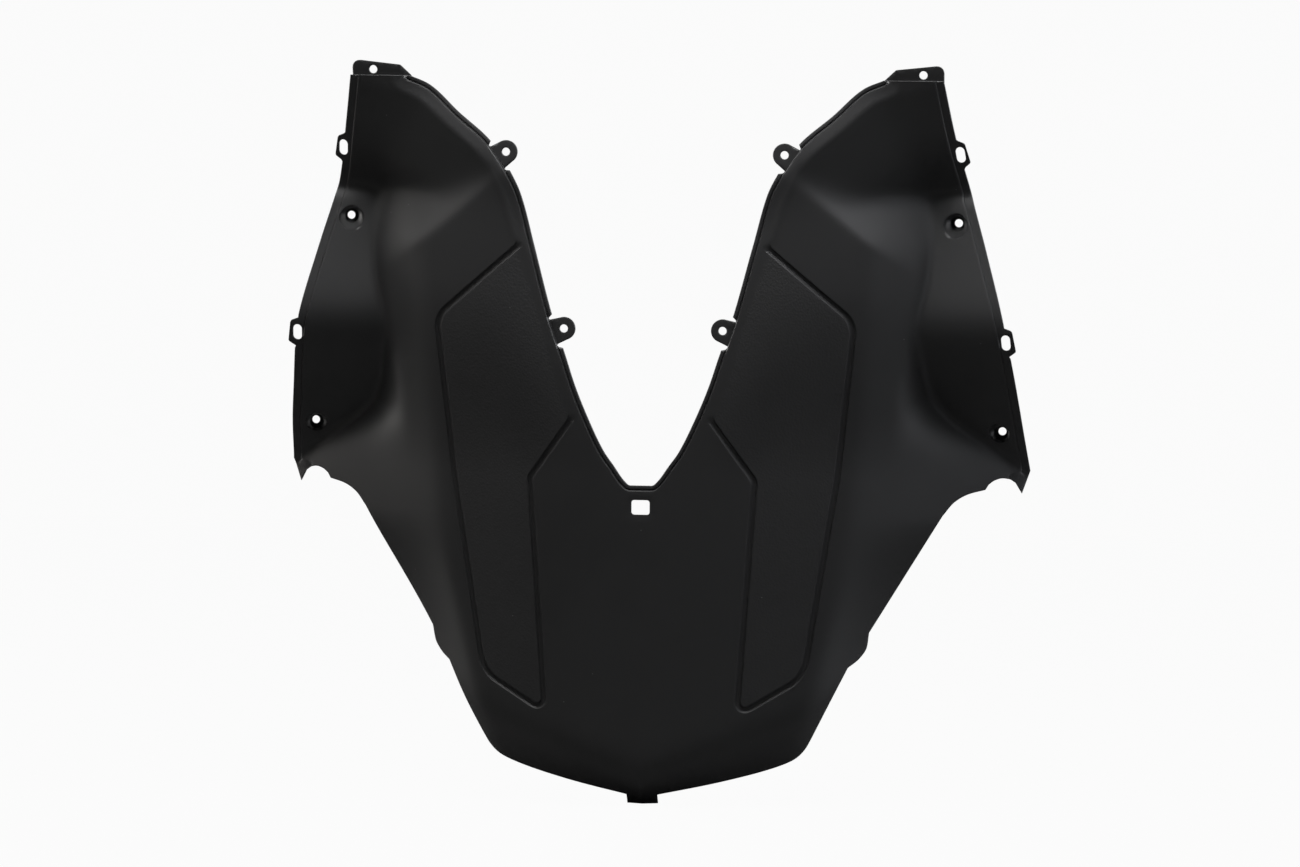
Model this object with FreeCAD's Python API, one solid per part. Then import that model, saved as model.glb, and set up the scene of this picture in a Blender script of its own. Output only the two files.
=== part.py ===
import FreeCAD, Part
import math
import os

# Rider-side leg shield of a scooter, one moulding, all sizes in millimetres.
# X runs to the right as the rider sees it, Z runs up, and the seen face looks along -Y.
# The origin lies midway between the two lower ear screws, on the front of the ear plates.
# The form is a lofted body, a folded wing and a rounded arm, each a solid behind its own skin.
# Built a second time one wall deeper, the same form hollows out the first.
# Flat regions drawn in the X-Z plane trim the wall, the ledges, the grooves and the plates.

# Wall, and the ledge that steps back along the V and along the wing edges
wall = 2.6
ledge_step = 1.6
ledge_wall = 2.2
ledge_overlap = 2.5
v_ledge_width = 3.2
wing_ledge_width = 5.6
ledge_join_z = -82.5
ledge_join_lap = 2.5
station_clear = 3.0

# Screw and clip openings
screw_hole_r = 2.8
slot_width = 6.1
slot_height = 10.8
slot_end_r = 3.0
window_width = 12.6
window_height = 10.1
window_corner_r = 2.0
window_z = -120.9

# Ears in the V, given by the place of the screw and the plate round it
ear_plate = 2.6
ear_r = 7.9
ear_upper = (95.1, 119.8)
ear_lower = (54.3, 0.0)
ear_root_half = 9.2
ear_root_wall = 3.4
ear_gap = 1.6
ear_edge_reach = 8.0

# Top tabs
tab_front_y = 8.2
tab_plate = 2.6
tab_screw = (188.0, 174.8)
tab_top = 181.6
tab_outer = 202.2
tab_inner = 169.5
tab_inner_z = 178.1
tab_foot = (161.8, 171.0)
tab_foot_low = 157.8
tab_root_low = 163.0
tab_root_high = 167.0
tab_corner_r = 5.0
tab_small_r = 2.0

# Slotted tabs on the wing edge: place and lean of each slot, tab corners given from the slot
slot_upper = (212.5, 120.8)
slot_lower = (244.8, -7.4)
slot_upper_lean = 8.0
slot_lower_lean = 5.0
slot_tab_corners = [(-1.2, 9.9), (3.5, 8.1), (6.8, -6.0), (2.5, -9.3)]
slot_tab_corner_r = [1.0, 2.6, 1.8, 1.0]
slot_tab_reach = 13.0

# Screw cups in the wings: a floor round the screw, a wider mouth that leans off to one side
cup_upper = (210.6, 73.4)
cup_lower = (240.8, -71.8)
cup_upper_floor_y = 61.0
cup_lower_floor_y = 100.0
cup_upper_lean = (0.0, -1.2)
cup_lower_lean = (-2.4, -3.2)
cup_floor_share = 0.25
cup_floor_r = 4.6
cup_mouth_r = 8.2
cup_depth = 10.0
cup_wall = 2.2
cup_mouth_reach = 2.0
cup_boss_reach = 1.6

# Groove round each grained panel
groove_width = 4.2
groove_depth = 1.2
groove_outer_tip = (86.5, 55.3)
groove_shoulder = (143.3, 6.4)
groove_side_middle = (131.7, -103.3)
groove_side_foot = (110.4, -238.0)
groove_foot = (66.2, -263.8)
groove_waist = (77.2, -102.5)
groove_inner_tip = (49.1, -63.0)
groove_shoulder_r = 13.0
groove_side_foot_r = 16.0
groove_foot_r = 4.5
groove_waist_r = 5.0

# Bottom tongue
tongue_half = 10.5
tongue_bottom = -327.8
tongue_root = -313.0
tongue_corner_r = 2.0

# Edge of the V as stations (height, half width), from the foot up
v_foot = -106.1
v_foot_half = 7.5
v_edge = [
    (-103.7, 10.8),
    (-92.7, 18.8),
    (-83.0, 25.6),
    (-59.1, 37.2),
    (-37.6, 45.9),
    (-18.1, 52.3),
    (7.4, 61.1),
    (57.8, 74.7),
    (91.9, 84.0),
    (103.0, 89.1),
    (126.9, 105.0),
    (146.5, 127.5),
    (165.6, 149.0),
    (171.0, 161.8),
]

# Outer edge of the wing as stations (height, half width), from the top down
wing_edge = [
    (171.0, 202.4),
    (129.0, 210.4),
    (88.1, 220.8),
    (54.2, 230.5),
    (0.7, 244.3),
    (-55.0, 253.5),
    (-100.5, 259.7),
]

# Lower outline of the right half, from the wing's spike to the foot of the shield
spike_tip = (254.1, -116.4)
spike_root = 4.0
scallop = [(249.7, -108.6), (241.0, -105.0), (231.9, -109.0)]
waist = [(229.7, -112.6), (218.7, -115.1), (209.4, -120.2), (201.4, -129.6)]
bump = [(152.0, -211.1), (150.4, -221.6), (145.4, -229.1), (138.6, -234.2)]
foot_side = (113.6, -284.6)
foot_corner = [(109.6, -291.6), (102.6, -298.2)]
foot_line = [(87.2, -304.3), (55.1, -312.2), (12.0, -320.8)]
foot_middle_z = -322.0

# Body sections: a front face, a panel turned outwards, a flank past the knee, a wall to the wing
section_low = -345.0
section_step = 75.0
section_count = 8
section_half = 285.0
front_y = -8.0
front_lean = 0.05
front_lean_z = -60.0
front_lean_round = 20.0
panel_slope = 0.35
panel_half_low = 50.0
panel_half_gain = 45.0
panel_gain_low = -100.0
panel_gain_high = 30.0
panel_round = 14.0
knee_half = 138.0
knee_z = -162.0
knee_tilt = 0.083
knee_tuck = 0.152
knee_tuck_round = 15.0
knee_round = 7.0
flank_slope = 0.45
flank_slope_gain = 1.1
flank_gain_high = -130.0
flank_gain_low = -235.0
wall_half = 182.5
wall_tilt = 0.17
wall_slope = 1.5
wall_slope_end = 0.02
wall_round = 4.0
wall_end_low = -130.0
wall_end_high = -20.0

# Shoulder facet above the ridge between its two ends
ridge_upper = (110.4, 94.8)
ridge_lower = (156.1, 56.7)
facet_slope = 1.2

# Foot that turns under below a line falling to the middle
foot_turn_y = 4.0
foot_turn_z = -306.0
foot_turn_across = 0.532
foot_turn_slope = 0.9

# Wing folded along its crease, and the pocket above it
crease_y = 59.7
wing_tilt = -0.11
wing_rise = 0.20
wing_fall = 0.85
wing_ease_z = -48.0
wing_ease = 0.60
wing_tail_z = -72.0
wing_tail = 1.15
crease_round = 11.0
wing_ease_round = 7.7
wing_high = 250.0
wing_low = -380.0
pocket_z = 91.0
pocket_corner_x = 194.0
pocket_inner = (177.1, 102.1)
pocket_floor_y = 57.5
pocket_floor_z = 95.0
pocket_floor_slope = 0.75
pocket_reach = 5.0

# Upper arm, rounded off outwards from a crest line that leans back upwards
arm_low = (106.5, 107.0)
arm_high = (178.0, 167.0)
arm_y = -7.8
arm_lean = 0.105
arm_slope = 0.8
arm_slope_out = 1.9
arm_turn = 8.0
arm_turn_out = 28.0
arm_round = 6.0
arm_reach_in = -40.0
arm_reach_out = 140.0
arm_reach_low = -70.0
arm_reach_high = 170.0

# Extents that reach clear of the part
through = 420.0
front_clear = -60.0
clear = 420.0
wing_back = 500.0
arm_back = 460.0


def ramp(distance, rounding):
    """Zero on one side, a straight rise on the other, with a rounded corner between."""
    return rounding * math.log1p(math.exp(min(distance / rounding, 30.0)))


def ease(value, low, high):
    """Smooth change from 0 at low to 1 at high."""
    s = min(max((value - low) / (high - low), 0.0), 1.0)
    return s * s * (3.0 - 2.0 * s)


def half_width(stations, z):
    """Half width read between the stations of an edge, carried straight on past its ends."""
    rows = sorted(stations)
    i = 0
    while i < len(rows) - 2 and z > rows[i + 1][0]:
        i += 1
    (z0, w0), (z1, w1) = rows[i], rows[i + 1]
    return w0 + (w1 - w0) * (z - z0) / (z1 - z0)


def bent_line(start, slope, corners, end, below):
    """Points of a bent line moved evenly below itself: its start, its corners with their
    roundings, and its end. A corner is (place, slope after it, rounding)."""
    lines = [(slope, start[1] - slope * start[0])]
    for place, after, rounding in corners:
        m, b = lines[-1]
        lines.append((after, m * place + b - after * place))
    lines = [(m, b + below * math.hypot(1.0, m)) for m, b in lines]
    points = [(start[0], lines[0][0] * start[0] + lines[0][1])]
    for (m, b), (n, c), corner in zip(lines, lines[1:], corners):
        place = (b - c) / (n - m)
        r = corner[2]
        points += [
            (place - r, m * (place - r) + b),
            (place, m * place + b),
            (place + r, n * (place + r) + c),
        ]
    points.append((end, lines[-1][0] * end + lines[-1][1]))
    return points


def bent_edges(points):
    """Straight and rounded stretches of a bent line given in space."""
    edges = []
    for i in range(0, len(points) - 1, 3):
        edges.append(Part.LineSegment(points[i], points[i + 1]).toShape())
        if i + 3 < len(points):
            blend = Part.BezierCurve()
            blend.setPoles(points[i + 1 : i + 4])
            edges.append(blend.toShape())
    return edges


def backed_wire(points, back):
    """A bent line closed by straight edges round the space behind it."""
    far = [FreeCAD.Vector(p.x, back, p.z) for p in (points[-1], points[0])]
    edges = bent_edges(points)
    edges.append(Part.LineSegment(points[-1], far[0]).toShape())
    edges.append(Part.LineSegment(far[0], far[1]).toShape())
    edges.append(Part.LineSegment(far[1], points[0]).toShape())
    return Part.Wire(edges)


def body_section(z, below):
    """Level section of the body, the same on both sides."""
    front = front_y + front_lean * ramp(front_lean_z - z, front_lean_round)
    panel = panel_half_low + panel_half_gain * ease(z, panel_gain_low, panel_gain_high)
    knee = knee_half + knee_tilt * (z - knee_z) - knee_tuck * ramp(knee_z - z, knee_tuck_round)
    flank = panel_slope + flank_slope + flank_slope_gain * ease(z, flank_gain_high, flank_gain_low)
    drop = wall_slope * ease(z, wall_end_low, wall_end_high) + wall_slope_end
    corners = [
        (panel, panel_slope, panel_round),
        (knee, flank, knee_round),
        (wall_half + wall_tilt * max(z, wall_end_low), flank + drop, wall_round),
    ]
    half = bent_line((0.0, front), 0.0, corners, section_half, below)[1:]
    right = [FreeCAD.Vector(x, y, z) for x, y in half]
    left = [FreeCAD.Vector(-x, y, z) for x, y in reversed(half)]
    return backed_wire(left + right, through)


def behind_plane(depth, across, up, below):
    """Everything behind the plane Y = depth + across * X + up * Z, moved evenly below itself."""
    depth += below * math.sqrt(1.0 + across * across + up * up)
    corners = []
    for x, z in ((-clear, -clear), (clear, -clear), (clear, clear), (-clear, clear)):
        corners.append(FreeCAD.Vector(x, depth + across * x + up * z, z))
    face = Part.Face(Part.makePolygon(corners + corners[:1]))
    return face.extrude(FreeCAD.Vector(0, 4.0 * clear, 0))


def body(below):
    """Loft through the level sections, cut back to the shoulder facets and the turned foot."""
    heights = [section_low + section_step * i for i in range(section_count)]
    sections = [body_section(z, below) for z in heights]
    solid = Part.makeLoft(sections, True, True)
    dx = ridge_lower[0] - ridge_upper[0]
    dz = ridge_upper[1] - ridge_lower[1]
    run = math.hypot(dx, dz)
    across = panel_slope + facet_slope * dz / run
    up = facet_slope * dx / run
    depth = front_y + panel_slope * (ridge_upper[0] - panel_half_low - panel_half_gain)
    depth -= across * ridge_upper[0] + up * ridge_upper[1]
    foot_depth = foot_turn_y + foot_turn_slope * foot_turn_z
    for side in (1.0, -1.0):
        solid = solid.common(behind_plane(depth, side * across, up, below))
        foot = behind_plane(foot_depth, side * foot_turn_across, -foot_turn_slope, below)
        solid = solid.common(foot)
    return solid


def wing(below):
    """Folded plate of the right wing, its fold carried outwards and a little towards the rider."""
    corners = [
        (0.0, wing_fall, crease_round),
        (-wing_ease_z, wing_ease, wing_ease_round),
        (-wing_tail_z, wing_tail, wing_ease_round),
    ]
    start = (-wing_high, crease_y + wing_rise * wing_high)
    path = bent_line(start, -wing_rise, corners, -wing_low, below)
    wire = backed_wire([FreeCAD.Vector(0.0, y, -s) for s, y in path], wing_back)
    return Part.Face(wire).extrude(FreeCAD.Vector(clear, wing_tilt * clear, 0.0))


def arm(below):
    """Right upper arm: its bent outline carried along the crest line."""
    dx = arm_high[0] - arm_low[0]
    dz = arm_high[1] - arm_low[1]
    run = math.hypot(dx, dz)
    ux, uz = dx / run, dz / run
    corners = [(arm_turn, arm_slope, arm_round), (arm_turn_out, arm_slope_out, arm_round)]
    path = bent_line((arm_reach_in, 0.0), 0.0, corners, arm_reach_out, below)
    low = arm_reach_low
    points = []
    for out, y in path:
        x = arm_low[0] + low * ux + out * uz
        z = arm_low[1] + low * uz - out * ux
        points.append(FreeCAD.Vector(x, arm_y + low * arm_lean + y, z))
    reach = FreeCAD.Vector(ux, arm_lean, uz) * (arm_reach_high - low)
    return Part.Face(backed_wire(points, arm_back)).extrude(reach)


def pocket_region(below):
    """Region above the wing and outside the shoulder where the wing and the body end."""
    x, z = pocket_inner
    dx = pocket_corner_x - x
    dz = z - pocket_z
    run = math.hypot(dx, dz)
    start = (pocket_corner_x, pocket_z - below)
    end = (x - below * dz / run, z - below * dx / run)
    far = (end[0] - pocket_reach * dx, end[1] + pocket_reach * dz)
    return polygon([(clear, start[1]), start, end, far, (far[0], clear), (clear, clear)])


def form(below):
    """Everything behind the skin, or behind a level lying evenly below it."""
    plate = wing(below)
    low = body(below).multiFuse([plate, mirrored(plate)])
    cut = prism(pocket_region(below), -clear, 3.0 * clear)
    low = low.cut(cut).cut(mirrored(cut))
    floor_depth = pocket_floor_y + pocket_floor_slope * pocket_floor_z
    floor = behind_plane(floor_depth, 0.0, -pocket_floor_slope, below)
    high = arm(below)
    return low.multiFuse([high, mirrored(high), floor])


def at(point):
    return FreeCAD.Vector(point[0], 0.0, point[1])


def line(start, end):
    return Part.LineSegment(at(start), at(end)).toShape()


def curve(points):
    spline = Part.BSplineCurve()
    spline.interpolate([at(p) for p in points])
    return spline.toShape()


def bow(start, middle, end):
    return Part.Arc(at(start), at(middle), at(end)).toShape()


def closed(edges):
    return Part.Face(Part.Wire(Part.__sortEdges__(edges)))


def polygon(points):
    return Part.Face(Part.makePolygon([at(p) for p in points + points[:1]]))


def disc(centre, radius):
    circle = Part.Circle(at(centre), FreeCAD.Vector(0, 1, 0), radius)
    return Part.Face(Part.Wire(circle.toShape()))


def prism(face, front=front_clear, depth=through):
    """A flat region carried through along Y."""
    moved = face.copy()
    moved.translate(FreeCAD.Vector(0, front, 0))
    return moved.extrude(FreeCAD.Vector(0, depth, 0))


def mirrored(shape):
    return shape.mirror(FreeCAD.Vector(0, 0, 0), FreeCAD.Vector(1, 0, 0))


def both_sides(shapes):
    return shapes + [mirrored(s) for s in shapes]


def toward(start, end, distance):
    """Point a stated distance from start on the way to end."""
    run = math.hypot(end[0] - start[0], end[1] - start[1])
    t = distance / run
    return (start[0] + (end[0] - start[0]) * t, start[1] + (end[1] - start[1]) * t)


def rounded_path(points, radii):
    """Straight runs through the points with arcs at the inner ones."""
    edges = []
    start = points[0]
    for before, corner, after, r in zip(points, points[1:], points[2:], radii):
        a = math.atan2(before[1] - corner[1], before[0] - corner[0])
        b = math.atan2(after[1] - corner[1], after[0] - corner[0])
        half = abs(math.remainder(a - b, 2.0 * math.pi)) / 2.0
        first = toward(corner, before, r / math.tan(half))
        last = toward(corner, after, r / math.tan(half))
        middle = ((first[0] + last[0]) / 2.0, (first[1] + last[1]) / 2.0)
        crown = toward(corner, middle, r / math.sin(half) - r)
        edges.append(line(start, first))
        edges.append(bow(first, crown, last))
        start = last
    edges.append(line(start, points[-1]))
    return edges


def rounded_box(centre, width, height, corner):
    """Upright rectangle with round corners."""
    x, z = centre
    w, h = width / 2.0, height / 2.0
    ring = [(x, z - h), (x + w, z - h), (x + w, z + h), (x - w, z + h), (x - w, z - h), (x, z - h)]
    return closed(rounded_path(ring, [corner] * 4))


def inset(stations, distance):
    """Stations of an edge as points (half width, height) moved square to it into the part."""
    points = [(w, z) for z, w in stations]
    moved = []
    for i, (x, z) in enumerate(points):
        before = points[max(i - 1, 0)]
        after = points[min(i + 1, len(points) - 1)]
        dx = after[0] - before[0]
        dz = after[1] - before[1]
        run = math.hypot(dx, dz)
        moved.append((x + distance * dz / run, z - distance * dx / run))
    return moved


def shell_region():
    """Outline of the seen skin inside the ledges, without the ears, tabs and tongue."""
    rim = inset(v_edge, v_ledge_width)
    foot = v_foot - v_ledge_width
    edge = inset(wing_edge, wing_ledge_width)
    half = [
        line((0.0, foot), (v_foot_half, foot)),
        curve([(v_foot_half, foot)] + rim),
        line(rim[-1], edge[0]),
        curve(edge),
        line(edge[-1], scallop[0]),
        bow(*scallop),
        line(scallop[-1], waist[0]),
        curve(waist),
        line(waist[-1], bump[0]),
        curve(bump),
        line(bump[-1], foot_side),
        curve([foot_side] + foot_corner + [foot_line[0]]),
        curve(foot_line),
        line(foot_line[-1], (0.0, foot_middle_z)),
    ]
    return closed(half + [mirrored(e) for e in half])


def ledge_run(stations, width, low, high):
    """Ledge along an edge between two heights, reaching under the skin by its overlap."""
    inner = [s for s in stations if low + station_clear < s[0] < high - station_clear]
    ends = [(z, half_width(stations, z)) for z in (low, high)]
    run = sorted(inner + ends, reverse=stations[0][0] > stations[-1][0])
    outer = [(w, z) for z, w in run]
    under = inset(run, width + ledge_overlap)
    sides = [line(outer[-1], under[-1]), line(under[0], outer[0])]
    hidden = [line(a, b) for a, b in zip(under, under[1:])]
    return closed([curve(outer)] + hidden + sides)


def ledge_foot():
    """Ledge across the foot of the V."""
    low = v_foot - v_ledge_width - ledge_overlap
    stations = [s for s in v_edge if s[0] < ledge_join_z + ledge_join_lap]
    outer = [(v_foot_half, v_foot)] + [(w, z) for z, w in stations]
    under = [(v_foot_half, low)] + inset(stations, v_ledge_width + ledge_overlap)
    half = [
        line((0.0, v_foot), outer[0]),
        curve(outer),
        line(outer[-1], under[-1]),
        curve(under),
        line(under[0], (0.0, low)),
    ]
    return closed(half + [mirrored(e) for e in half])


def spike():
    """Point of the wing's lower corner, on the level of the ledge."""
    edge = wing_edge[-1]
    return polygon([(edge[1], edge[0]), spike_tip, scallop[0], (scallop[0][0], edge[0] + spike_root)])


def slot_tab(place):
    """Tab that stands out of the wing edge round a slot."""
    ring = [(place[0] + dx, place[1] + dz) for dx, dz in slot_tab_corners]
    root = place[0] - slot_tab_reach
    ring = [(root, ring[0][1])] + ring + [(root, ring[-1][1])]
    return closed(rounded_path(ring, slot_tab_corner_r) + [line(ring[-1], ring[0])])


def slot(place, lean):
    """Upright slot whose top leans towards the middle."""
    face = rounded_box(place, slot_width, slot_height, slot_end_r)
    face.rotate(at(place), FreeCAD.Vector(0, 1, 0), -lean)
    return face


def ledge_regions():
    """Everything that lies one step behind the skin along the edges."""
    low = ledge_join_z - ledge_join_lap
    high = v_edge[-1][0] - ledge_join_lap
    right = [
        ledge_run(v_edge, v_ledge_width, low, ledge_stop(ear_lower, -1.0)),
        ledge_run(v_edge, v_ledge_width, ledge_stop(ear_lower, 1.0), ledge_stop(ear_upper, -1.0)),
        ledge_run(v_edge, v_ledge_width, ledge_stop(ear_upper, 1.0), high),
        ledge_run(wing_edge, wing_ledge_width, wing_edge[-1][0], wing_edge[0][0]),
        slot_tab(slot_upper),
        slot_tab(slot_lower),
        spike(),
    ]
    return both_sides([prism(r) for r in right]) + [prism(ledge_foot())]


def edge_direction(z):
    """Unit vector up along the edge of the V."""
    dx = half_width(v_edge, z + ear_edge_reach) - half_width(v_edge, z - ear_edge_reach)
    run = math.hypot(dx, 2.0 * ear_edge_reach)
    return (dx / run, 2.0 * ear_edge_reach / run)


def ledge_stop(place, side):
    """Height at which the ledge stops short of an ear's root, above it or below it."""
    ux, uz = edge_direction(place[1])
    foot = (half_width(v_edge, place[1]) - place[0]) * ux
    return place[1] + (foot + side * (ear_root_half + ear_gap)) * uz


def ear_point(place, along, into):
    """Point given from the ear's screw along the edge and into the part."""
    ux, uz = edge_direction(place[1])
    return (place[0] + along * ux + into * uz, place[1] + along * uz - into * ux)


def ear(place, skin_back):
    """Flat ear set behind the rim, with the wall that carries it from the skin."""
    edge = (half_width(v_edge, place[1]) - place[0]) * edge_direction(place[1])[1]
    near = edge + v_ledge_width
    far = near + ear_root_wall
    neck = [
        ear_point(place, ear_r, 0.0),
        ear_point(place, ear_root_half, far),
        ear_point(place, -ear_root_half, far),
        ear_point(place, -ear_r, 0.0),
    ]
    root = [
        ear_point(place, ear_root_half, near),
        ear_point(place, ear_root_half, far),
        ear_point(place, -ear_root_half, far),
        ear_point(place, -ear_root_half, near),
    ]
    plate = prism(polygon(neck), 0.0, ear_plate).fuse(prism(disc(place, ear_r), 0.0, ear_plate))
    carrier = prism(polygon(root), front_clear, ear_plate - front_clear).common(skin_back)
    return plate.fuse(carrier)


def top_tab(skin_back):
    """Flat tab behind the top of the arm, with the wall that carries it from the skin."""
    ring = [
        (tab_outer, tab_root_low),
        (tab_outer, tab_top),
        (tab_inner, tab_inner_z),
        tab_foot,
        (tab_foot_low, tab_root_low),
    ]
    edges = rounded_path(ring, [tab_corner_r, tab_small_r, tab_small_r])
    edges.append(line(ring[-1], ring[0]))
    plate = prism(closed(edges), tab_front_y, tab_plate)
    low, high = tab_root_low, tab_root_high
    root = polygon([(tab_foot[0], low), (tab_outer, low), (tab_outer, high), (tab_foot[0], high)])
    carrier = prism(root, front_clear, tab_front_y + tab_plate - front_clear).common(skin_back)
    return plate.fuse(carrier)


def cup_ring(place, lean, floor, share, grow):
    """Ring of a cup's wall at a share of the way from its floor to its mouth."""
    off = cup_floor_share + (1.0 - cup_floor_share) * share
    y = floor + grow - cup_depth * share
    centre = FreeCAD.Vector(place[0] + off * lean[0], y, place[1] + off * lean[1])
    radius = cup_floor_r + (cup_mouth_r - cup_floor_r) * share + grow
    return Part.Wire(Part.Circle(centre, FreeCAD.Vector(0, 1, 0), radius).toShape())


def cup_space(place, lean, floor, grow, reach):
    """Slanted cone from a cup's floor out past its mouth."""
    rings = [cup_ring(place, lean, floor, share, grow) for share in (0.0, reach)]
    return Part.makeLoft(rings, True, True)


def groove_region():
    """Band along the open border of one grained panel."""
    upper = rounded_path(
        [groove_outer_tip, groove_shoulder, groove_side_middle], [groove_shoulder_r]
    )
    lower = rounded_path(
        [groove_side_middle, groove_side_foot, groove_foot, groove_waist, groove_inner_tip],
        [groove_side_foot_r, groove_foot_r, groove_waist_r],
    )
    path = Part.Wire(Part.__sortEdges__(upper + lower))
    return Part.Face(path.makeOffset2D(groove_width / 2.0))


def cup_tools(place, lean, floor):
    """Hollow of a screw cup and the hole through its floor."""
    hole = prism(disc(place, screw_hole_r))
    return [cup_space(place, lean, floor, 0.0, cup_mouth_reach), hole]


def cup_boss(place, lean, floor, skin_back):
    """Wall and floor of a screw cup behind the wing."""
    return cup_space(place, lean, floor, cup_wall, cup_boss_reach).common(skin_back)


def openings(groove_back):
    """Screw holes, cups, slots, grooves and the window, all cut along Y."""
    right = [prism(disc(place, screw_hole_r)) for place in (ear_upper, ear_lower, tab_screw)]
    right += cup_tools(cup_upper, cup_upper_lean, cup_upper_floor_y)
    right += cup_tools(cup_lower, cup_lower_lean, cup_lower_floor_y)
    right.append(prism(slot(slot_upper, slot_upper_lean)))
    right.append(prism(slot(slot_lower, slot_lower_lean)))
    right.append(prism(groove_region()).cut(groove_back))
    window = rounded_box((0.0, window_z), window_width, window_height, window_corner_r)
    return both_sides(right) + [prism(window)]


def fused(shapes):
    return shapes[0].multiFuse(shapes[1:])


def leg_shield():
    """Wall behind the skin, the ledges one step behind it, the plates and cups on its back."""
    wall_back = form(wall)
    ledge_front = form(ledge_step)
    ledge_back = form(ledge_step + ledge_wall)
    tongue_middle = (0.0, (tongue_root + tongue_bottom) / 2.0)
    tongue_height = tongue_root - tongue_bottom
    tongue = rounded_box(tongue_middle, 2.0 * tongue_half, tongue_height, tongue_corner_r)
    outline = prism(shell_region()).fuse(prism(tongue))
    skin_wall = outline.common(form(0.0)).cut(wall_back)
    ledges = fused(ledge_regions()).common(ledge_front).cut(ledge_back)
    back = [
        ear(ear_upper, ledge_front),
        ear(ear_lower, ledge_front),
        top_tab(ledge_front),
        cup_boss(cup_upper, cup_upper_lean, cup_upper_floor_y, ledge_front),
        cup_boss(cup_lower, cup_lower_lean, cup_lower_floor_y, ledge_front),
    ]
    whole = fused([skin_wall, ledges] + both_sides(back))
    return whole.cut(fused(openings(form(groove_depth)))).removeSplitter()


os.makedirs("parts", exist_ok=True)
shield = leg_shield()
shield.exportStep("parts/leg_shield.step")
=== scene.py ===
import math

import bpy
import numpy as np
from mathutils import Matrix, Vector
from mathutils.geometry import delaunay_2d_cdt


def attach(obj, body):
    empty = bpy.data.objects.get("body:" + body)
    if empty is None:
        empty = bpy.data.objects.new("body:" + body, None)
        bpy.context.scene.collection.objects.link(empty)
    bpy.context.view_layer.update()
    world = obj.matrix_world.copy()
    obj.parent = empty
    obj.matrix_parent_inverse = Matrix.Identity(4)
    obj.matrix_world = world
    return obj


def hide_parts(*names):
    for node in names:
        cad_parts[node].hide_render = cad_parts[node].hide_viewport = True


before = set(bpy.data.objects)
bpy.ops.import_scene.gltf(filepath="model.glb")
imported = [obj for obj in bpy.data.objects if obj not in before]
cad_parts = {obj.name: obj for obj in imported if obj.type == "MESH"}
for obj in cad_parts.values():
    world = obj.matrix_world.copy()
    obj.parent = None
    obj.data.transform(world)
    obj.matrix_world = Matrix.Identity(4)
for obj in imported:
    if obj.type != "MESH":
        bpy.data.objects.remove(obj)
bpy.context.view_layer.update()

# All shapes below are worked out in millimetres, x right, z up, y away from the rider.


# curves in the x-z plane

def smoothLine(points, spacing):
    # cubic through the points against chord length, with slopes held back so that it never overshoots
    p = np.array(points, float)
    t = np.concatenate([[0.0], np.cumsum(np.hypot(*np.diff(p, axis=0).T))])
    secant = np.diff(p, axis=0) / np.diff(t)[:, None]
    slope = np.zeros_like(p)
    same = secant[:-1] * secant[1:] > 0
    pair = np.where(same, secant[:-1] * secant[1:], 1.0)
    slope[1:-1] = np.where(same, 2 * pair / np.where(same, secant[:-1] + secant[1:], 1.0), 0.0)
    slope[0], slope[-1] = secant[0], secant[-1]
    at = np.linspace(0, t[-1], max(2, int(round(t[-1] / spacing)) + 1))
    i = np.clip(np.searchsorted(t, at, side="right") - 1, 0, len(t) - 2)
    h = np.diff(t)[i][:, None]
    s = ((at - t[i]) / np.diff(t)[i])[:, None]
    return ((1 + 2 * s) * (1 - s) ** 2 * p[i] + s * (1 - s) ** 2 * h * slope[i]
            + s * s * (3 - 2 * s) * p[i + 1] + s * s * (s - 1) * h * slope[i + 1])


def straightLine(points, spacing):
    # the corners joined by straight runs, sampled evenly
    p = np.array(points, float)
    t = np.concatenate([[0.0], np.cumsum(np.hypot(*np.diff(p, axis=0).T))])
    runs = [np.linspace(a, b, max(2, int((b - a) / spacing) + 1)) for a, b in zip(t, t[1:])]
    at = np.unique(np.concatenate([t] + runs))
    return np.stack([np.interp(at, t, p[:, 0]), np.interp(at, t, p[:, 1])], 1)


def roundedLine(points, radii, steps=6):
    # straight runs with an arc at each inner corner: tangent lengths r / tan(half the corner's angle)
    p = np.array(points, float)
    out = [p[:1]]
    for a, b, c, r in zip(p, p[1:], p[2:], radii):
        u, v = (a - b) / np.hypot(*(a - b)), (c - b) / np.hypot(*(c - b))
        half = math.acos(np.clip(u @ v, -1, 1)) / 2
        mid = (u + v) / np.hypot(*(u + v))
        centre = b + mid * r / math.sin(half)
        first, last = b + u * r / math.tan(half) - centre, b + v * r / math.tan(half) - centre
        sweep = math.atan2(first[0] * last[1] - first[1] * last[0], first @ last)
        turn = np.linspace(0, sweep, steps)[:, None]
        out.append(centre + np.cos(turn) * first + np.sin(turn) * np.array([-first[1], first[0]]))
    return np.concatenate(out + [p[-1:]])


def ring(centre, radius, count):
    # a full circle
    turn = np.linspace(0, 2 * math.pi, count, endpoint=False)[:, None]
    return np.array(centre) + radius * np.concatenate([np.cos(turn), np.sin(turn)], 1)


def inward(line, distance):
    # the line moved square to itself, to the right hand of its run
    d = np.gradient(line, axis=0)
    d /= np.hypot(d[:, 0], d[:, 1])[:, None]
    return line + np.stack([d[:, 1], -d[:, 0]], 1) * np.reshape(distance, (-1, 1))


def lineDistance(points, line, block=1500):
    # shortest distance from each point to the chain of segments
    a, d = line[:-1], np.diff(line, axis=0)
    ll = np.maximum((d * d).sum(1), 1e-9)
    out = np.empty(len(points))
    for i in range(0, len(points), block):
        w = points[i:i + block, None, :] - a
        s = np.clip((w * d).sum(2) / ll, 0, 1)[..., None]
        out[i:i + block] = np.sqrt(((w - s * d) ** 2).sum(2).min(1))
    return out


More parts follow.
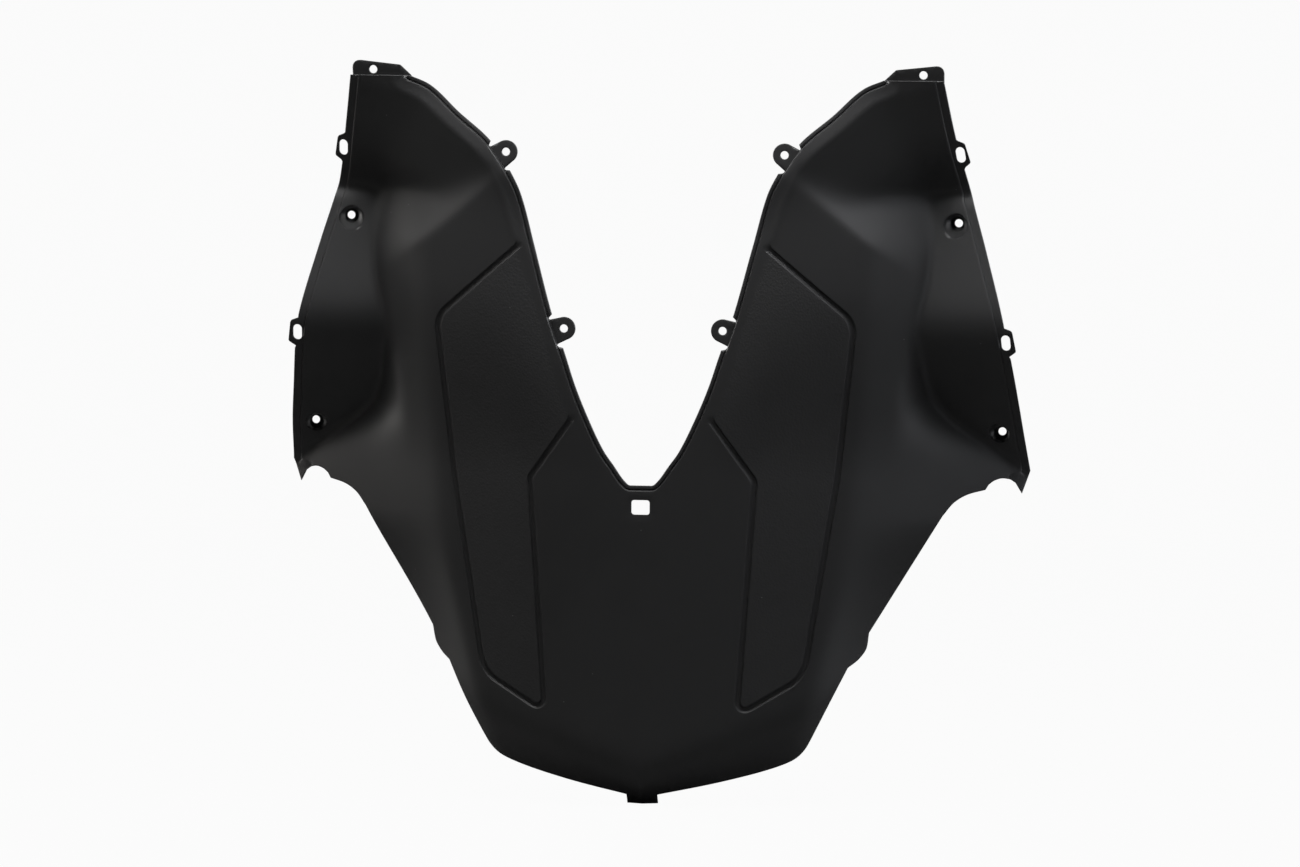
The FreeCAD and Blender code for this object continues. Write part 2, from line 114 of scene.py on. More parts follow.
def nearest(points, lines):
    # shortest distance from each point to any of the lines
    return np.min([lineDistance(points, line) for line in lines], axis=0)


def closed(loop):
    # the loop with its first point again at its end
    return np.concatenate([loop, loop[:1]])


def inside(points, loops, block=1500):
    # even-odd test: how often a ray to the right crosses the loops
    a = np.concatenate(loops)
    b = np.concatenate([np.roll(l, -1, axis=0) for l in loops])
    out = np.empty(len(points), bool)
    for i in range(0, len(points), block):
        x, z = points[i:i + block, 0:1], points[i:i + block, 1:2]
        over = (a[:, 1] > z) != (b[:, 1] > z)
        dz = np.where(b[:, 1] == a[:, 1], 1e-12, b[:, 1] - a[:, 1])
        cross = a[:, 0] + (z - a[:, 1]) * (b[:, 0] - a[:, 0]) / dz
        out[i:i + block] = ((over & (x < cross)).sum(1) % 2) == 1
    return out


# the moulded skin as depth y over the x-z plane

skinForm = {
    # front face and turned side panels
    "frontDepth": -8.0, "frontLean": 0.05, "leanHeight": -60.0, "leanRound": 20.0,
    "panelSlope": 0.35, "panelHalf": 50.0, "panelWiden": 45.0, "widenHeights": (-100.0, 30.0),
    "panelRound": 12.0,
    # flank past the knee, steeper low down
    "flankSlope": 0.45, "flankGain": 0.85, "flankGainBelow": (130.0, 235.0), "flankRound": 3.5,
    "kneeHalf": 138.0, "kneeHeight": -162.0, "kneeTilt": 0.083, "kneeTuck": 0.152, "kneeRound": 15.0,
    # wall between flank and wing
    "wallHalf": 182.5, "wallTilt": 0.17, "wallSlope": 1.5, "wallRound": 2.5, "wallEnd": -58.0, "wallFade": 9.0,
    # shoulder facet above its ridge
    "ridge": ((110.4, 94.8), (156.1, 56.7)), "facetSlope": 0.62, "facetRound": 1.3,
    # wing with its fold, and the two bends below it
    "foldDepth": 59.7, "wingTilt": -0.11, "wingRise": 0.20, "wingFall": 0.85, "foldRound": 6.0, "wingSeam": 2.5,
    "wingEase": 0.25, "easeHeight": -48.0, "easeRound": 8.0,
    "wingTail": 0.55, "tailHeight": -72.0, "tailRound": 6.0,
    # pocket outside the arm
    "pocketHeight": 91.0, "pocketEdge": ((177.1, 102.1), (194.0, 90.4)), "pocketSlope": 1.4, "pocketRound": 3.0,
    "pocketFloor": 57.5, "floorHeight": 95.0, "floorSlope": 0.75, "floorSeam": 5.0,
    # rounded upper arm
    "armCrest": ((106.5, 107.0), (178.0, 167.0)), "armTop": ((165.0, 160.5), (195.0, 168.0)),
    "armDepth": -7.8, "armLean": 0.105, "armLeanRound": 10.0, "armInset": 5.0, "armTopSeam": 2.0,
    "armSlope": 0.55, "armRound": 1.5, "armSteep": 0.75, "armSteepStart": 40.0, "armSteepRound": 5.0,
    "armSeam": 4.0,
    # foot that turns under
    "footSlope": 0.9, "footHeight": -306.0, "footRise": 0.38, "footRound": 5.0,
    # band and bead along the V, and the channel beside its edge
    "rimWidth": 3.0, "rimGain": 9.0, "rimHeights": (45.0, 75.0), "rimSlope": 0.10, "rimRound": 0.8,
    "rimBead": 0.6, "beadWidth": 1.5, "lipDepth": 0.9, "lipPlace": 3.0, "lipWidth": 0.55,
    # wall, ledges, grooves and grain
    "thickness": 2.6, "ledgeStep": 1.2, "ledgeThickness": 2.2,
    "vLedge": 3.2, "vLedgeSoft": (0.3, 0.5), "wingLedge": 5.6, "wingLedgeSoft": (0.4, 0.6), "wingEnd": -95.0,
    "grooveDepth": 1.8, "grooveWall": (0.8, 2.4), "grainStart": (1.5, 3.2), "edgeRound": 0.5,
}


def ramp(d, r):
    # zero before the corner, distance after it, rounded over r
    return r * np.logaddexp(0, d / r)


def softMin(a, b, k):
    # smaller of the two with a rounded seam
    return -k * np.logaddexp(-a / k, -b / k)


def step(v, low, high):
    # smooth change from 0 to 1
    s = np.clip((v - low) / (high - low), 0, 1)
    return s * s * (3 - 2 * s)


def beyond(a, z, line):
    # distance to the right of a line
    (px, pz), (qx, qz) = line
    return ((qz - pz) * (a - px) - (qx - px) * (z - pz)) / math.hypot(qx - px, qz - pz)


def skinDepth(x, z):
    # front face + panel turned outwards + flank and wall past the knee, with the shoulder facet laid across,
    # then the folded wing, the pocket and the rounded arm, each blended as the nearer surface,
    # and the foot's turn added below its line
    f, a = skinForm, np.abs(x)
    front = f["frontDepth"] + f["frontLean"] * ramp(f["leanHeight"] - z, f["leanRound"])
    panelHalf = f["panelHalf"] + f["panelWiden"] * step(z, *f["widenHeights"])
    panel = f["panelSlope"] * ramp(a - panelHalf, f["panelRound"])
    knee = f["kneeHalf"] + f["kneeTilt"] * (z - f["kneeHeight"])
    knee = knee - f["kneeTuck"] * ramp(f["kneeHeight"] - z, f["kneeRound"])
    flank = f["flankSlope"] + f["flankGain"] * step(-z, *f["flankGainBelow"])
    flank = flank * ramp(a - knee, f["flankRound"])
    fade = 1 / (1 + np.exp(-(z - f["wallEnd"]) / f["wallFade"]))
    wall = f["wallSlope"] * fade * ramp(a - f["wallHalf"] - f["wallTilt"] * z, f["wallRound"])
    facet = f["facetSlope"] * ramp(-beyond(a, z, f["ridge"]), f["facetRound"])
    body = front + panel + np.hypot(flank + wall, facet)
    wing = f["foldDepth"] + f["wingTilt"] * a
    wing = wing + f["wingRise"] * ramp(z, f["foldRound"]) + f["wingFall"] * ramp(-z, f["foldRound"])
    wing = wing - f["wingEase"] * ramp(f["easeHeight"] - z, f["easeRound"])
    wing = wing + f["wingTail"] * ramp(f["tailHeight"] - z, f["tailRound"])
    past = softMin(z - f["pocketHeight"], -beyond(a, z, f["pocketEdge"]), f["pocketRound"])
    low = softMin(body, wing, f["wingSeam"]) + f["pocketSlope"] * ramp(past, f["pocketRound"])
    (px, pz), (qx, qz) = f["armCrest"]
    along = ((a - px) * (qx - px) + (z - pz) * (qz - pz)) / math.hypot(qx - px, qz - pz)
    dome = softMin(beyond(a, z, f["armCrest"]) + f["armInset"], beyond(a, z, f["armTop"]), f["armTopSeam"])
    arm = f["armDepth"] + f["armLean"] * ramp(along, f["armLeanRound"])
    arm = arm + f["armSlope"] * ramp(dome, f["armRound"])
    arm = arm + f["armSteep"] * ramp(dome - f["armSteepStart"], f["armSteepRound"])
    floor = f["pocketFloor"] - f["floorSlope"] * (z - f["floorHeight"])
    y = softMin(softMin(low, arm, f["armSeam"]), floor, f["floorSeam"])
    return y + f["footSlope"] * ramp(f["footRise"] * a - z + f["footHeight"], f["footRound"])


def skinTilt(x, z, h=0.4):
    # length of the surface normal for a unit of depth
    gx = (skinDepth(x + h, z) - skinDepth(x - h, z)) / (2 * h)
    gz = (skinDepth(x, z + h) - skinDepth(x, z - h)) / (2 * h)
    return np.sqrt(1 + gx * gx + gz * gz)


# outlines of the right half

outlines = {
    "vEdge": [(0, -106.1), (7.5, -106.1), (10.8, -103.7), (18.8, -92.7), (25.6, -83.0), (37.2, -59.1),
              (45.9, -37.6), (52.3, -18.1), (61.1, 7.4), (74.7, 57.8), (84.0, 91.9), (89.1, 103.0),
              (105.0, 126.9), (127.5, 146.5), (149.0, 165.6), (161.8, 171.0)],
    "wingEdge": [(202.4, 171.0), (210.4, 129.0), (220.8, 88.1), (230.5, 54.2), (244.3, 0.7), (253.5, -55.0),
                 (259.7, -100.5)],
    "upperTab": [(211.2, 130.3), (215.4, 128.7), (219.1, 115.3), (215.4, 112.1)],
    "lowerTab": [(243.7, 2.8), (249.0, 0.9), (251.7, -13.8), (247.0, -17.3)],
    "tabRadii": [2.6, 1.8], "tabGap": 0.7,
    "spike": [(259.7, -100.5), (254.1, -116.4), (249.7, -108.6)],
    "scallop": [(249.7, -108.6), (245.4, -105.8), (241.0, -105.0), (236.0, -106.2), (231.9, -109.0)],
    "waist": [(229.7, -112.6), (218.7, -115.1), (209.4, -120.2), (201.4, -129.6)],
    "bump": [(152.0, -211.1), (150.4, -221.6), (145.4, -229.1), (138.6, -234.2)],
    "foot": [(113.6, -284.6), (109.6, -291.6), (102.6, -298.2), (87.2, -304.3), (55.1, -312.2),
             (12.0, -320.8)],
    "tongue": [(10.5, -321.2), (10.5, -327.8), (0.0, -327.8)],
    "groove": [(86.5, 55.3), (143.3, 6.4), (131.7, -103.3), (110.4, -238.0), (66.2, -263.8), (77.2, -102.5),
               (49.1, -63.0)],
    "grooveRadii": [18.0, 400.0, 24.0, 5.0, 9.0],
    "grainEdge": [(61.0, -27.0), (72.0, 14.0), (82.0, 41.0)],  # closes the grained panel along the V
    "window": (12.6, 10.1, 2.0, -120.9),  # width, height, corner, middle height
    "slots": [(212.5, 120.8, 8.0), (244.8, -7.4, 5.0)],  # place and lean in degrees
    "slotSize": (6.1, 10.8),
    "screwHole": 2.8,
    "cups": [(210.6, 73.4, 61.0, -2.0, -1.2), (240.8, -71.8, 100.0, -2.4, -3.2)],  # hole, floor depth, lean
    "cupFloor": 4.6, "cupMouth": 8.2, "cupDepth": 10.0, "cupFloorShare": 0.25, "cupWall": 2.2,
    "cupReach": 20.0, "cupSeam": 0.2,
    "ears": [(95.1, 119.8), (54.3, 0.0)], "earRadius": 7.9, "earRoot": 9.2, "earLap": 3.4,
    "earGap": 1.6, "notchSoft": 0.7, "plate": 2.6, "rootBevel": 0.05,
    "topTab": [(202.2, 163.0), (202.2, 181.6), (169.5, 178.1), (161.8, 171.0), (157.8, 163.0)],
    "topTabRadii": [5.0, 2.0, 2.0], "topTabDepth": 8.2, "topTabTilt": 0.30, "topTabScrew": (188.0, 174.8),
    "topTabRoot": [(170.0, 163.0), (200.0, 163.0), (200.0, 167.0), (170.0, 167.0)], "topTabRootGap": 0.3,
}

spacing = {
    "rim": 1.5, "straight": 1.6, "curve": 1.4, "fine": 1.2, "middle": 3.0, "groove": 2.0, "grooveArc": 14,
}

vLine = smoothLine(outlines["vEdge"], spacing["rim"])
wingLine = smoothLine(outlines["wingEdge"], spacing["rim"])
wingSpike = np.concatenate([wingLine, straightLine(outlines["spike"], spacing["rim"])[1:]])
grooveCorners = roundedLine(outlines["groove"], outlines["grooveRadii"], spacing["grooveArc"])
grooveLine = straightLine(grooveCorners, spacing["groove"])


def notchedV():
    # the V edge pushed in by the ledge's width where an ear stands
    run = np.concatenate([[0.0], np.cumsum(np.hypot(*np.diff(vLine, axis=0).T))])
    push = np.zeros(len(vLine))
    for ear in outlines["ears"]:
        at = run[np.argmin(np.hypot(*(vLine - ear).T))]
        reach = outlines["earRoot"] + outlines["earGap"]
        soft = outlines["notchSoft"]
        push = np.maximum(push, 1 - step(np.abs(run - at), reach - soft, reach + soft))
    return inward(vLine, skinForm["vLedge"] * push)


def wingWithTabs():
    # the wing edge with the two slotted tabs standing out of it
    upper = roundedLine(outlines["upperTab"], outlines["tabRadii"])
    lower = roundedLine(outlines["lowerTab"], outlines["tabRadii"])
    z, gap = wingLine[:, 1], outlines["tabGap"]
    above = wingLine[z > upper[0, 1] + gap]
    between = wingLine[(z < upper[-1, 1] - gap) & (z > lower[0, 1] + gap)]
    below = wingLine[z < lower[-1, 1] - gap]
    return np.concatenate([above, upper, between, lower, below])


def halfOutline():
    # round the right half: middle of the V, up the V, along the arm's top,
    # down the wing and the foot, back up the middle
    o, d = outlines, spacing
    w, h, r, z = o["window"]
    window = roundedLine([(0, z - h / 2), (w / 2, z - h / 2), (w / 2, z + h / 2), (0, z + h / 2)], [r, r])
    edge = [
        notchedV(), straightLine([o["vEdge"][-1], o["wingEdge"][0]], d["straight"])[1:-1], wingWithTabs(),
        straightLine(o["spike"], d["fine"])[1:], smoothLine(o["scallop"], d["fine"])[1:],
        smoothLine(o["waist"], d["curve"]),
        straightLine([o["waist"][-1], o["bump"][0]], d["straight"])[1:-1], smoothLine(o["bump"], d["curve"]),
        straightLine([o["bump"][-1], o["foot"][0]], d["straight"])[1:-1], smoothLine(o["foot"], d["straight"]),
        straightLine(o["tongue"], d["fine"]),
    ]
    edge = np.concatenate(edge)
    lower = straightLine([o["tongue"][-1], (0, z - h / 2)], d["middle"])[1:-1]
    upper = straightLine([(0, z + h / 2), o["vEdge"][0]], d["rim"])[1:-1]
    return edge, np.concatenate([lower, window, upper]), window


def slotLoop(x, z, lean):
    # straight sides closed by half circles, leaning with the wing edge
    w, h = outlines["slotSize"]
    turn = np.linspace(0, math.pi, 10)[:, None]
    cap = np.concatenate([np.cos(turn), np.sin(turn)], 1) * w / 2
    lift = np.array([0, h / 2 - w / 2])
    c, n = math.cos(math.radians(lean)), math.sin(math.radians(lean))
    return np.concatenate([cap + lift, -cap - lift]) @ np.array([[c, n], [-n, c]]) + (x, z)


# triangles over a region

def triangulate(loops, loose):
    # Delaunay triangles over loop corners and loose points, kept where their middle lies in the region
    corners = np.concatenate(loops + [loose])
    edges, start = [], 0
    for loop in loops:
        i = np.arange(len(loop))
        edges.append(np.stack([i, np.roll(i, -1)], 1) + start)
        start += len(loop)
    made = delaunay_2d_cdt([Vector(c) for c in corners], np.concatenate(edges).tolist(), [], 0, 1e-4)
    flat = np.array([tuple(v) for v in made[0]])
    tris = np.array([f for f in made[2] if len(f) == 3])
    tris = tris[inside(flat[tris].mean(1), loops)]
    (ax, az), (bx, bz), (cx, cz) = flat[tris].transpose(1, 2, 0)
    area = (bx - ax) * (cz - az) - (cx - ax) * (bz - az)
    tris = np.where((area < 0)[:, None], tris[:, ::-1], tris)[np.abs(area) > 1e-6]
    used, tris = np.unique(tris, return_inverse=True)
    return flat[used], tris.reshape(-1, 3)


def doubled(flat, tris):
    # the right half and its mirror image, sharing the points on the middle line
    seam = np.abs(flat[:, 0]) < 1e-5
    twin = np.where(seam, np.arange(len(flat)), 0)
    twin[~seam] = len(flat) + np.arange((~seam).sum())
    left = flat[~seam] * np.array([-1.0, 1.0])
    return np.concatenate([flat, left]), np.concatenate([tris, twin[tris][:, ::-1]])


def walled(flat, tris, front, back):
    # front sheet, back sheet turned over, and a wall along every edge that only one triangle has
    n = len(flat)
    sheets = [np.stack([flat[:, 0], y, flat[:, 1]], 1) for y in (front, back)]
    verts = np.concatenate(sheets)
    directed = np.concatenate([tris[:, [0, 1]], tris[:, [1, 2]], tris[:, [2, 0]]])
    key = directed[:, 0] * n + directed[:, 1]
    rim = directed[~np.isin(key, directed[:, 1] * n + directed[:, 0])]
    a, b = rim[:, 0], rim[:, 1]
    walls = np.concatenate([np.stack([a, a + n, b + n], 1), np.stack([a, b + n, b], 1)])
    return verts, np.concatenate([tris, tris[:, ::-1] + n, walls])


# main skin

def cupRing(cup, share, count=44):
    # ring of a cup's wall at a share of the way from floor to mouth, its middle moving along the lean
    x, z, _, leanX, leanZ = cup
    off = outlines["cupFloorShare"] * (1 - share) + share
    radius = outlines["cupFloor"] + (outlines["cupMouth"] - outlines["cupFloor"]) * share
    return ring((x + off * leanX, z + off * leanZ), radius, count)


def cupDepth(y, flat, grow):
    # slanted cup sunk into the sheet: the share t solves distance to the moving middle = growing radius
    o = outlines
    widen = o["cupMouth"] - o["cupFloor"]
    for x, z, floor, leanX, leanZ in o["cups"]:
        lean = np.array([leanX, leanZ])
        q = np.stack([np.abs(flat[:, 0]) - x, flat[:, 1] - z], 1) - lean * o["cupFloorShare"]
        move, radius = lean * (1 - o["cupFloorShare"]), o["cupFloor"] + grow
        a, b, c = move @ move - widen ** 2, q @ move + radius * widen, (q * q).sum(1) - radius ** 2
        t = np.maximum((b - np.sqrt(np.maximum(b * b - a * c, 0))) / a, 0)
        cone = floor + grow - o["cupDepth"] * t
        y = np.where(np.hypot(*q.T) < o["cupReach"], -softMin(-y, -cone, o["cupSeam"]), y)
    return y


skinMesh = {
    # distances from each line at which rows of points follow it
    "vRows": (1.0, 2.2, 2.9, 3.2, 3.5, 3.9, 4.6, 6.0, 8.0),
    "wingRows": (1.5, 3.5, 4.9, 5.3, 5.6, 5.9, 6.4, 7.4, 9.5),
    "edgeRows": (0.3, 0.8, 1.8), "holeRows": (-0.35, -0.9, -1.8),
    "grooveRows": (-3.4, -2.6, -2.2, -1.8, -1.3, -0.6, 0, 0.6, 1.3, 1.8, 2.2, 2.6, 3.4),
    "cupRows": (-0.1, 0.05, 0.2, 0.4, 0.6, 0.8, 1.0, 1.2, 1.4, 1.7, 2.1), "rowClear": 0.22,
    # loose grid between the rows, and how far it keeps from them
    "gap": 2.4, "columns": (0.5, 110), "lines": (-138, 73), "gridClear": 1.6,
    "edgeClear": 1.0, "grooveClear": 2.4, "vClear": 7.5, "wingClear": 9.0, "cupClear": 11.5,
    "holePoints": 40, "sharpAngle": 38.0,
}


def rowPoints(edge, window, holes, border, loops):
    # each line moved sideways by its row distances, and the cups' rings, kept inside the region
    m = skinMesh
    rows = [inward(vLine, d) for d in m["vRows"]] + [inward(wingLine, d) for d in m["wingRows"]]
    rows += [inward(closed(edge), d)[:-1] for d in m["edgeRows"]]
    rows += [inward(closed(h), d)[:-1] for h in holes for d in m["holeRows"]]
    rows += [inward(window, d) for d in m["holeRows"]]
    rows += [inward(grooveLine, d) for d in m["grooveRows"]]
    rows += [cupRing(c, t) for c in outlines["cups"] for t in m["cupRows"]]
    rows = np.concatenate(rows)
    rows = rows[inside(rows, loops)]
    return rows[nearest(rows, border) > m["rowClear"]]


def gridPoints(border, loops):
    # staggered grid, kept inside the region and clear of the rows
    m, gap = skinMesh, skinMesh["gap"]
    gx, gz = np.meshgrid(np.arange(*m["columns"]) * gap, np.arange(*m["lines"]) * gap)
    gx = gx + (np.arange(len(gx)) % 2)[:, None] * gap / 2
    grid = np.stack([gx.ravel(), gz.ravel()], 1)
    grid = grid[inside(grid, loops)]
    near = np.minimum(nearest(grid, border) - m["edgeClear"], lineDistance(grid, grooveLine) - m["grooveClear"])
    near = np.minimum(near, lineDistance(grid, vLine) - m["vClear"])
    near = np.minimum(near, lineDistance(grid, wingLine) - m["wingClear"])
    for c in outlines["cups"]:
        near = np.minimum(near, np.hypot(*(grid - np.array(c[:2]) - c[3:]).T) - m["cupClear"])
    return grid[near > m["gridClear"]]


def skinSheets(flat, border):
    # front and back depth: the skin with its band and bead along the V, ledges, grooves and channel
    # measured square to it, the cups sunk in, and the front edge rolled over
    f = skinForm
    x, z = flat[:, 0], flat[:, 1]
    base, tilt = skinDepth(x, z), skinTilt(x, z)
    vGap, wGap = lineDistance(flat, vLine), lineDistance(flat, wingSpike)
    out = (x > np.interp(z, wingLine[::-1, 1], wingLine[::-1, 0])) & (z > f["wingEnd"])
    wGap = np.where(out, -wGap, wGap)
    gGap, eGap = lineDistance(flat, grooveLine), nearest(flat, border)
    high = step(z, *f["rimHeights"])
    base = base + f["rimSlope"] * ramp(f["rimWidth"] + f["rimGain"] * high - vGap, f["rimRound"])
    bead = np.exp(-((vGap - f["rimWidth"] - f["rimGain"]) / f["beadWidth"]) ** 2)
    base = base - f["rimBead"] * high * bead
    (vIn, vOut), (wIn, wOut) = f["vLedgeSoft"], f["wingLedgeSoft"]
    vPart = 1 - step(vGap, f["vLedge"] - vIn, f["vLedge"] + vOut)
    wPart = 1 - step(wGap, f["wingLedge"] - wIn, f["wingLedge"] + wOut)
    ledge = np.maximum(vPart, wPart)
    groove = f["grooveDepth"] * (1 - step(gGap, *f["grooveWall"]))
    roll = np.clip(f["edgeRound"] - eGap, 0, f["edgeRound"])
    roll = f["edgeRound"] - np.sqrt(f["edgeRound"] ** 2 - roll ** 2)
    lip = f["lipDepth"] * np.exp(-((vGap - f["lipPlace"]) / f["lipWidth"]) ** 2)
    front = base + tilt * (f["ledgeStep"] * ledge + groove + lip)
    back = base + tilt * (f["thickness"] + (f["ledgeStep"] + f["ledgeThickness"] - f["thickness"]) * ledge)
    return cupDepth(front, flat, 0.0) + roll, cupDepth(back, flat, outlines["cupWall"])


def mainSkin():
    # triangles over the right half, mirrored, walled, with the grained panels marked 1
    edge, middle, window = halfOutline()
    holes = [slotLoop(*s) for s in outlines["slots"]]
    holes += [ring(c[:2], outlines["screwHole"], skinMesh["holePoints"]) for c in outlines["cups"]]
    border = [edge, window] + [closed(h) for h in holes]
    loops = [np.concatenate([edge, middle])] + holes
    loose = np.concatenate([rowPoints(edge, window, holes, border, loops), gridPoints(border, loops)])
    flat, tris = triangulate(loops, loose)
    print("half skin", len(flat), "points", len(tris), "triangles")
    front, back = skinSheets(flat, border)
    panel = inside(flat, [np.concatenate([grooveLine, outlines["grainEdge"]])])
    grain = panel * step(lineDistance(flat, grooveLine), *skinForm["grainStart"])
    seam = np.abs(flat[:, 0]) < 1e-5
    both = lambda v: np.concatenate([v, v[~seam]])
    verts, faces = walled(*doubled(flat, tris), both(front), both(back))
    return verts, faces, np.tile(both(grain), 2)


# plates behind the rim

plateMesh = {"rows": (-0.25, -0.6, 0.25, 0.6), "gap": 2.0, "rowClear": 0.2, "bevel": 0.5, "holePoints": 36}


def plateSolid(loop, holes, front, back, bevel):
    # flat plate with a rolled front edge, or a block whose front follows the given depth
    loops = [loop] + holes
    border = [closed(l) for l in loops]
    low, high = loop.min(0), loop.max(0)
    gap = plateMesh["gap"]
    gx, gz = np.meshgrid(np.arange(low[0], high[0], gap), np.arange(low[1], high[1], gap))
    rows = [inward(b, d)[:-1] for b in border for d in plateMesh["rows"]]
    loose = np.concatenate(rows + [np.stack([gx.ravel(), gz.ravel()], 1)])
    loose = loose[inside(loose, loops)]
    loose = loose[nearest(loose, border) > plateMesh["rowClear"]]
    flat, tris = triangulate(loops, loose)
    roll = np.clip(bevel - nearest(flat, border), 0, bevel)
    y = front(flat[:, 0], flat[:, 1]) + bevel - np.sqrt(bevel ** 2 - roll ** 2)
    verts, faces = walled(flat, tris, y, np.full(len(flat), back))
    twin = verts * np.array([-1.0, 1.0, 1.0])
    return np.concatenate([verts, twin]), np.concatenate([faces, faces[:, ::-1] + len(verts)])


def underSkin(x, z):
    # a level that stays behind the skin and its turned rim
    return skinDepth(x, z) + skinForm["thickness"] * skinTilt(x, z)


def level(depth):
    # the same depth everywhere
    return lambda x, z: np.full(len(x), depth)


def earPlates():
    # disc round the screw, a neck that widens to the root, and the wall that carries it
    o, parts = outlines, []
    r, half, lap = o["earRadius"], o["earRoot"], o["earLap"]
    for ear in o["ears"]:
        i = np.argmin(np.hypot(*(vLine - ear).T))
        along = vLine[i + 4] - vLine[i - 4]  # the V edge's run beside the ear
        along /= np.hypot(*along)
        into = np.array([along[1], -along[0]])
        near = (vLine[i] - ear) @ into + skinForm["vLedge"]
        at = lambda u, v: np.array(ear) + u * along + v * into
        turn = np.linspace(math.pi / 2, 3 * math.pi / 2, 25)
        cap = np.array([at(r * math.sin(t), r * math.cos(t)) for t in turn])
        loop = np.concatenate([cap, [at(-half, near + lap), at(half, near + lap)]])
        hole = ring(ear, o["screwHole"], plateMesh["holePoints"])
        parts.append(plateSolid(loop[::-1], [hole], level(0.0), o["plate"], plateMesh["bevel"]))
        root = np.array([at(half, near), at(half, near + lap), at(-half, near + lap), at(-half, near)])
        parts.append(plateSolid(root, [], underSkin, o["plate"], o["rootBevel"]))
    return parts


def topTabs():
    # tilted tab with a round corner behind the top of each arm, and the wall that carries it
    o = outlines
    loop = roundedLine(o["topTab"], o["topTabRadii"])
    hole = ring(o["topTabScrew"], o["screwHole"], plateMesh["holePoints"])
    back = o["topTabDepth"] + o["plate"]
    face = lambda x, z: o["topTabDepth"] - o["topTabTilt"] * (z - o["topTabScrew"][1])
    low = lambda x, z: np.minimum(underSkin(x, z), back - o["topTabRootGap"])
    tab = plateSolid(loop, [hole], face, back, plateMesh["bevel"])
    return [tab, plateSolid(np.array(o["topTabRoot"]), [], low, back, o["rootBevel"])]


# finish

plastic = {
    "colour": (0.020, 0.020, 0.0205), "smudge": (0.014, 0.014, 0.0145), "speck": (0.11, 0.11, 0.11),
    "roughness": 0.44, "smudgeRough": 0.07, "grainRough": 0.06, "specular": 0.5,
    "smudgeScale": 11.0, "smudgeFrom": 0.50, "smudgeTo": 0.72, "speckScale": 42.0, "speckSize": 0.016,
    "fineScale": 900.0, "fineBump": 0.04, "fineDepth": 0.0004,
    "grainScale": 620.0, "grainBump": 0.24, "grainDepth": 0.0005,
}


def plasticMaterial():
    # satin black: colour fades into broad smudges and tiny pale specks, fine mould texture all over,
    # leather-like grain and a little more roughness where the panel attribute is 1
    mat = bpy.data.materials.new("blackMouldedPlastic")
    mat.use_nodes = True
    nodes, links = mat.node_tree.nodes, mat.node_tree.links
    shader = nodes["Principled BSDF"]
    shader.inputs["Specular IOR Level"].default_value = plastic["specular"]
    where = nodes.new("ShaderNodeTexCoord").outputs["Object"]

    def texture(kind, scale, output):
        # a pattern on the object's own coordinates
        node = nodes.new(kind)
        node.inputs["Scale"].default_value = scale
        links.new(where, node.inputs["Vector"])
        return node.outputs[output]

    def reckon(kind, a, b, c):
        # one math node with its plain numbers set on the sockets
        node = nodes.new("ShaderNodeMath")
        node.operation = kind
        for socket, value in zip(node.inputs, (a, b, c)):
            if isinstance(value, float):
                socket.default_value = value
            else:
                links.new(value, socket)
        return node.outputs[0]

    def blend(share, first, second):
        # first colour at share 0, second at share 1
        node = nodes.new("ShaderNodeMixRGB")
        links.new(share, node.inputs["Fac"])
        for socket, value in ((node.inputs["Color1"], first), (node.inputs["Color2"], second)):
            if isinstance(value, tuple):
                socket.default_value = (*value, 1)
            else:
                links.new(value, socket)
        return node.outputs["Color"]

    def bump(height, strength, distance, before):
        # surface tilted by the slope of the height, on top of the bump before it
        node = nodes.new("ShaderNodeBump")
        node.inputs["Distance"].default_value = distance
        links.new(height, node.inputs["Height"])
        if isinstance(strength, float):
            node.inputs["Strength"].default_value = strength
        else:
            links.new(strength, node.inputs["Strength"])
        if before is not None:
            links.new(before, node.inputs["Normal"])
        return node.outputs["Normal"]

    panel = nodes.new("ShaderNodeAttribute")
    panel.attribute_name = "grain"
    panel = panel.outputs["Fac"]
    broad = texture("ShaderNodeTexNoise", plastic["smudgeScale"], "Fac")
    smudge = nodes.new("ShaderNodeMapRange")
    smudge.inputs["From Min"].default_value = plastic["smudgeFrom"]
    smudge.inputs["From Max"].default_value = plastic["smudgeTo"]
    links.new(broad, smudge.inputs["Value"])
    smudge = smudge.outputs["Result"]
    dots = texture("ShaderNodeTexVoronoi", plastic["speckScale"], "Distance")
    dots = reckon("LESS_THAN", dots, plastic["speckSize"], 0.0)
    colour = blend(dots, blend(smudge, plastic["colour"], plastic["smudge"]), plastic["speck"])
    links.new(colour, shader.inputs["Base Color"])
    rough = reckon("MULTIPLY_ADD", smudge, plastic["smudgeRough"], plastic["roughness"])
    links.new(reckon("MULTIPLY_ADD", panel, plastic["grainRough"], rough), shader.inputs["Roughness"])
    fine = texture("ShaderNodeTexNoise", plastic["fineScale"], "Fac")
    hide = texture("ShaderNodeTexVoronoi", plastic["grainScale"], "Distance")
    first = bump(fine, plastic["fineBump"], plastic["fineDepth"], None)
    grain = reckon("MULTIPLY", panel, plastic["grainBump"], 0.0)
    links.new(bump(hide, grain, plastic["grainDepth"], first), shader.inputs["Normal"])
    return mat


